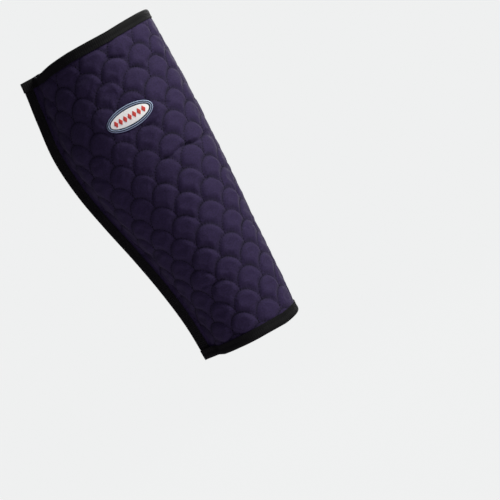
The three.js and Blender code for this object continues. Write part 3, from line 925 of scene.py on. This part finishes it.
def along_flap(side):
    """Places a tape on a flap's cut edge, from the ankle to the knee."""
    def place(along, out, inward):
        height = along + FLAP_TAPE_END
        return wrap_point(side * (half_length(height) - inward), height, out)
    return place


FLAP_LENGTH = WRAP_LENGTH - 2 * FLAP_TAPE_END
fold_tape("knee", rim_length(CUT_HIGH), round_edge(CUT_HIGH, -1), True)
fold_tape("ankle", rim_length(CUT_LOW), round_edge(CUT_LOW, 1), True)
fold_tape("near_flap", FLAP_LENGTH, along_flap(1), False)
fold_tape("far_flap", FLAP_LENGTH, along_flap(-1), False)

# %% [markdown]
# One line of lockstitch holds each tape, two to four millimetres from its hem. It is the same small
# loop as on the quilting, in black thread.

# %% Sew the tapes
HEM_STITCH_PITCH, HEM_STITCH_LENGTH, HEM_STITCH_WIDTH, HEM_STITCH_DEPTH = 3.0, 2.2, 0.6, 0.2


def hem_stitches(name, length, place):
    middle = np.arange(BINDING_WIDTH, length - BINDING_WIDTH, HEM_STITCH_PITCH)
    lay = TAPE_REACH - HEM_STITCH_DEPTH + FOLD_WAVE * wave(middle, FOLD_WAVE_LENGTHS)
    points = place(middle, lay, HEM_STITCH_INWARD)
    ahead = unit(place(middle + 0.5, lay, HEM_STITCH_INWARD) - place(middle - 0.5, lay, HEM_STITCH_INWARD))
    outward = unit(place(middle, lay + 1, HEM_STITCH_INWARD) - points)
    outward = unit(outward - ahead * np.sum(outward * ahead, axis=-1, keepdims=True))
    thread = sew(name, points, ahead, outward, HEM_STITCH_LENGTH, HEM_STITCH_WIDTH)
    thread.data.materials.append(black_thread)


black_thread = spun_thread("black polyester thread", "#232425")
hem_stitches("knee_hem_stitches", rim_length(CUT_HIGH), round_edge(CUT_HIGH, -1))
hem_stitches("ankle_hem_stitches", rim_length(CUT_LOW), round_edge(CUT_LOW, 1))
hem_stitches("near_flap_stitches", FLAP_LENGTH, along_flap(1))
hem_stitches("far_flap_stitches", FLAP_LENGTH, along_flap(-1))

# %% [markdown]
# The patch is a woven white oval with an overlocked rim. The field starts as a circle that is
# extruded inwards ring by ring, so that it can follow the wrap's curve, and Solidify makes it a plate.
# The rim is a torus, stretched to the oval and ridged by its threads.

# %% Patch field
PATCH_THICKNESS, PATCH_LIFT, PATCH_CREASE = 1.1, 0.9, 50
RIM_WIDTH, RIM_THICKNESS = 3.9, 1.7
FIELD_RINGS, FIELD_SIDES = 10, 96
FIELD_TUCK = 0.6  # the field runs this far in under the rim
FIELD_PUFF = 0.35
FIELD_HALF_LENGTH = PATCH_LENGTH / 2 - RIM_WIDTH + FIELD_TUCK
FIELD_HALF_WIDTH = PATCH_WIDTH / 2 - RIM_WIDTH + FIELD_TUCK
SATIN_ROW = 0.7  # millimetres, a few times the real rows' spacing, so that they show


def patch_point(along, up, out):
    height = PATCH_HEIGHT + up
    return wrap_point(np.interp(height, FORM_HEIGHTS, patch_line) - along, height, PATCH_LIFT + out)


def satin_weave():
    """White polyester satin: smooth floats of thread in fine rows, a soft gleam, warm white."""
    material, shader = new_material("white woven satin")
    flat = add_node(material, "ShaderNodeUVMap", uv_map="flat_patch")
    rows = add_node(material, "ShaderNodeTexWave", {
        "Vector": flat.outputs["UV"], "Scale": 2 * math.pi / (20 * SATIN_ROW * MM), "Distortion": 1.0,
        "Detail": 1,
    }, wave_type="BANDS", bands_direction="Y")
    tone = add_node(material, "ShaderNodeMixRGB", {
        "Fac": rows.outputs["Fac"], "Color1": linear("#eeefe6"), "Color2": linear("#f8f9f2"),
    })
    bump = add_node(material, "ShaderNodeBump", {
        "Height": rows.outputs["Fac"], "Strength": 0.25, "Distance": 0.1 * MM,
    })
    set_inputs(material, shader, {
        "Base Color": tone.outputs["Color"], "Normal": bump.outputs["Normal"], "Roughness": 0.6,
        "Specular IOR Level": 0.2,
    })
    return material


def lay_patch(piece, along, up, out):
    """Lays points of the flat patch on the wrap, and keeps their flat place."""
    set_points(piece, patch_point(along, up, out) * MM)
    keep_flat(piece, "flat_patch", along, up)


def field_puff(along, up):
    """The field swells a little between its sewn borders."""
    return FIELD_PUFF * (1 - (along / FIELD_HALF_LENGTH) ** 2 - (up / FIELD_HALF_WIDTH) ** 2)


bpy.ops.object.select_all(action="DESELECT")
bpy.ops.mesh.primitive_circle_add(vertices=FIELD_SIDES, radius=1, fill_type="NOTHING", calc_uvs=True)
field = bpy.context.object
field.name = "patch_satin"
bpy.ops.object.mode_set(mode="EDIT")
for ring in range(FIELD_RINGS - 1):
    bpy.ops.mesh.extrude_edges_move()
    bpy.ops.transform.resize(value=[(FIELD_RINGS - ring - 1) / (FIELD_RINGS - ring)] * 3)
bpy.ops.mesh.edge_face_add()
bpy.ops.mesh.select_all(action="SELECT")
bpy.ops.mesh.normals_make_consistent(inside=False)
bpy.ops.object.mode_set(mode="OBJECT")
disc = mesh_points(field)
field_along = disc[:, 0] * FIELD_HALF_LENGTH
field_up = disc[:, 1] * FIELD_HALF_WIDTH
lay_patch(field, field_along, field_up, field_puff(field_along, field_up))
thicken(field, PATCH_THICKNESS, PATCH_CREASE)
field.data.materials.append(satin_weave())
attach(field, "root")
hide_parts("patch_field")
print("patch field:", len(field.data.polygons), "faces")

# %% Patch rim
RIM_TURNS, RIM_SIDES, RIM_LIFT = 540, 16, 0.25
THREAD_PITCH, THREAD_RIDGE, THREAD_SLANT = 0.9, 0.07, 1.5
RING_RADIUS = 2  # of the torus before it is stretched, to a tube of radius 1


def overlock_thread():
    """Slate blue rayon with a satin gleam: the outer border and the middle have a paler line."""
    material, shader = new_material("slate rayon embroidery")
    band = add_node(material, "ShaderNodeAttribute", attribute_name="rim_band")
    ramp = add_node(material, "ShaderNodeValToRGB", {"Fac": band.outputs["Fac"]})
    stops = [(0.0, "#8f9fb6"), (0.17, "#8f9fb6"), (0.24, "#101d2b"), (0.45, "#101d2b"), (0.5, "#a3b3c8"),
             (0.61, "#a3b3c8"), (0.67, "#121f2e"), (1.0, "#1b2a3b")]
    for place, _ in stops[1:-1]:
        ramp.color_ramp.elements.new(place)
    for element, (place, colour) in zip(ramp.color_ramp.elements, stops):
        element.position = place
        element.color = linear(colour)
    set_inputs(material, shader, {
        "Base Color": ramp.outputs["Color"], "Roughness": 0.55, "Specular IOR Level": 0.25,
    })
    return material


bpy.ops.object.select_all(action="DESELECT")
bpy.ops.mesh.primitive_torus_add(
    major_segments=RIM_TURNS, minor_segments=RIM_SIDES, major_radius=RING_RADIUS, minor_radius=1)
rim = bpy.context.object
rim.name = "patch_overlock"
torus = mesh_points(rim)
turn = np.arctan2(torus[:, 1], torus[:, 0])
off_ring = np.hypot(torus[:, 0], torus[:, 1]) - RING_RADIUS
oval_length = math.pi * (PATCH_LENGTH + PATCH_WIDTH) / 2
threads = round(oval_length / THREAD_PITCH)
ridged = 1 + THREAD_RIDGE * np.cos(turn * threads + THREAD_SLANT * off_ring)
from_edge = (1 - off_ring) / 2
inset = from_edge * RIM_WIDTH
rim_along = np.cos(turn) * (PATCH_LENGTH / 2 - inset)
rim_up = np.sin(turn) * (PATCH_WIDTH / 2 - inset)
rim_out = torus[:, 2] * RIM_THICKNESS / 2 * ridged + RIM_LIFT
lay_patch(rim, rim_along, rim_up, rim_out)
band = rim.data.attributes.new("rim_band", "FLOAT", "POINT")
band.data.foreach_set("value", from_edge.astype(np.float32))
bpy.ops.object.shade_smooth()
rim.data.materials.append(overlock_thread())
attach(rim, "root")
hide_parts("patch_rim")
print("patch rim:", threads, "threads round the oval")

# %% [markdown]
# The motif is plain satin stitch in red: seven lozenges in a row along the oval. One is made from a
# four-sided cylinder whose edges are bevelled, then copied along the row and joined.

# %% Patch motif
LOZENGES, LOZENGE_PITCH, LOZENGE_SIZE = 7, 4.75, (2.1, 3.5, 0.5)
LOZENGE_BEVEL, LOZENGE_SINK, LOZENGE_CREASE = 0.25, 0.2, 40
SATIN_FLOAT = 0.5  # millimetres


def satin_stitch():
    """Red rayon satin stitch: parallel floats of thread about half a millimetre wide, soft gloss."""
    material, shader = new_material("red rayon satin stitch")
    flat = add_node(material, "ShaderNodeUVMap", uv_map="flat_patch")
    floats = add_node(material, "ShaderNodeTexWave", {
        "Vector": flat.outputs["UV"], "Scale": 2 * math.pi / (20 * SATIN_FLOAT * MM), "Distortion": 0.5,
    }, wave_type="BANDS", bands_direction="Y")
    tone = add_node(material, "ShaderNodeMixRGB", {
        "Fac": floats.outputs["Fac"], "Color1": linear("#b93a30"), "Color2": linear("#dc5044"),
    })
    set_inputs(material, shader, {"Base Color": tone.outputs["Color"], "Roughness": 0.45})
    return material


bpy.ops.object.select_all(action="DESELECT")
bpy.ops.mesh.primitive_cylinder_add(vertices=4, radius=1, depth=2)
motif = bpy.context.object
motif.name = "patch_motif"
bpy.ops.object.mode_set(mode="EDIT")
bpy.ops.mesh.bevel(offset=LOZENGE_BEVEL, segments=2)
bpy.ops.object.mode_set(mode="OBJECT")
for number in range(1, LOZENGES):
    only(motif)
    bpy.ops.object.duplicate()
    bpy.context.object.location.x = number * LOZENGE_PITCH / LOZENGE_SIZE[0]
for piece in bpy.data.objects:
    piece.select_set(piece.name.startswith("patch_motif"))
bpy.context.view_layer.objects.active = motif
bpy.ops.object.join()
motif_at = mesh_points(motif) * LOZENGE_SIZE
motif_at[:, 0] -= (LOZENGES - 1) * LOZENGE_PITCH / 2
motif_along, motif_up, motif_out = motif_at.T
seat = field_puff(motif_along, motif_up) + PATCH_THICKNESS / 2
lay_patch(motif, motif_along, motif_up, seat + motif_out - LOZENGE_SINK)
bpy.ops.object.shade_smooth_by_angle(angle=math.radians(LOZENGE_CREASE))
motif.data.materials.append(satin_stitch())
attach(motif, "root")
print("patch motif:", len(motif.data.polygons), "faces")

# %% [markdown]
# Between the flaps lies the hook-and-loop tape that closes the wrap. Only its edge shows. It is a thin
# strip whose two faces are pressed into the tapes beside it, with a ragged pile along its edges, so a
# grid is laid down the fin, its border is roughened, and Solidify gives it the two layers' thickness.

# %% Closing strip
STRIP_WIDTH, STRIP_END_GAP, STRIP_CREASE = 8, 6, 40
STRIP_PRESS = 0.15  # how far each face is pressed into the tape beside it
STRIP_RAGGED, STRIP_UNEVEN = 0.25, 0.02
STRIP_CELLS = (10, 280)  # across and along
LOOP_PITCH = 0.8  # millimetres


def hook_and_loop():
    """Nylon hook-and-loop: a dull black pile, with loops a little under a millimetre apart."""
    material, shader = new_material("black nylon hook and loop")
    place = add_node(material, "ShaderNodeTexCoord")
    pile = add_node(material, "ShaderNodeTexVoronoi", {
        "Vector": place.outputs["Object"], "Scale": 1 / (LOOP_PITCH * MM),
    })
    tone = add_node(material, "ShaderNodeMixRGB", {
        "Fac": pile.outputs["Distance"], "Color1": linear("#161617"), "Color2": linear("#080808"),
    })
    bump = add_node(material, "ShaderNodeBump", {
        "Height": pile.outputs["Distance"], "Strength": 0.6, "Distance": 0.3 * MM,
    }, invert=True)
    set_inputs(material, shader, {
        "Base Color": tone.outputs["Color"], "Normal": bump.outputs["Normal"], "Roughness": 0.85,
    })
    return material


bpy.ops.object.select_all(action="DESELECT")
bpy.ops.mesh.primitive_grid_add(x_subdivisions=STRIP_CELLS[0], y_subdivisions=STRIP_CELLS[1], size=2)
strip = bpy.context.object
strip.name = "closing_strip_pile"
grid = mesh_points(strip)
strip_height = STRIP_END_GAP + (grid[:, 1] + 1) / 2 * (WRAP_LENGTH - 2 * STRIP_END_GAP)
on_border = np.abs(grid[:, 0]) > 0.95
ragged = rng.uniform(-STRIP_RAGGED, STRIP_RAGGED, len(grid)) * on_border
strip_s = half_length(strip_height) - (grid[:, 0] + 1) / 2 * STRIP_WIDTH - ragged
strip_at = wrap_point(strip_s, strip_height)
strip_at[:, 1] = rng.uniform(-STRIP_UNEVEN, STRIP_UNEVEN, len(grid))
set_points(strip, strip_at * MM)
thicken(strip, STRIP_THICKNESS + 2 * (GAP + STRIP_PRESS), STRIP_CREASE)
strip.data.materials.append(hook_and_loop())
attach(strip, "root")
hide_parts("closing_strip")
print("closing strip:", len(strip.data.polygons), "faces")

# %% [markdown]
# The stage is a pale studio bowl: a flat floor that curves up into a wall, so that no horizon shows
# from any side. It glows by itself and is hidden from the light that the wrap gathers, so
# the pale ground doesn't wash out the dark cloth. The key light is a soft disc, high in front on the
# patch side. A faintly violet one below it fills the shadows, and two behind keep the far side
# readable.

# %% Stage and lights
FLOOR_DEPTH, STAGE_RADIUS, FLOOR_BEND = 0.55, 4.0, 4  # metres, and how sharply floor meets wall
LIGHTS = {  # direction, distance and size in metres, power in watts, and colour
    "key_light": ((0.85, -0.39, 0.55), 1.7, 0.8, 42, "#ffffff"),
    "low_light": ((-0.05, -0.42, -0.92), 1.9, 1.2, 15, "#faecff"),
    "rim_light": ((0.45, 0.85, 0.2), 1.9, 1.2, 16, "#ffffff"),
    "back_light": ((-0.2, 0.95, 0.25), 1.9, 1.2, 16, "#ffffff"),
}


def studio_paper():
    """Pale matt paper. Its light is its own, so that it is even all over."""
    material, shader = new_material("studio paper")
    set_inputs(material, shader, {
        "Base Color": linear("#101010"), "Roughness": 0.9, "Specular IOR Level": 0.0,
        "Emission Color": linear("#f2f3f3"), "Emission Strength": 0.97,
    })
    return material


bpy.ops.object.select_all(action="DESELECT")
bpy.ops.mesh.primitive_uv_sphere_add(segments=96, ring_count=64, radius=STAGE_RADIUS)
stage = bpy.context.object
stage.name = "studio_bowl"
bowl = mesh_points(stage)
bowl[:, 2] = -FLOOR_DEPTH + np.logaddexp(0, FLOOR_BEND * (bowl[:, 2] + FLOOR_DEPTH)) / FLOOR_BEND
set_points(stage, bowl)
bpy.ops.object.mode_set(mode="EDIT")
bpy.ops.mesh.select_all(action="SELECT")
bpy.ops.mesh.flip_normals()
bpy.ops.object.mode_set(mode="OBJECT")
bpy.ops.object.shade_smooth()
stage.data.materials.append(studio_paper())
stage.visible_diffuse = False
stage.visible_glossy = False
stage.visible_shadow = False


def soft_light(name, direction, distance, size, power, colour):
    bpy.ops.object.light_add(type="AREA")
    light = bpy.context.object
    light.name = name
    place = Vector(direction).normalized() * distance
    light.matrix_world = Matrix.Translation(place) @ place.to_track_quat("Z", "Y").to_matrix().to_4x4()
    light.data.shape = "DISK"
    light.data.size = size
    light.data.energy = power
    light.data.color = linear(colour)[:3]


for name, settings in LIGHTS.items():
    soft_light(name, *settings)
world = bpy.data.worlds.new("studio_air")
world.use_nodes = True
set_inputs(world, world.node_tree.nodes["Background"], {"Color": linear("#e9e1f7"), "Strength": 0.21})
bpy.context.scene.world = world
bpy.context.scene.view_settings.view_transform = "Standard"
print("stage and", len(LIGHTS), "lights")
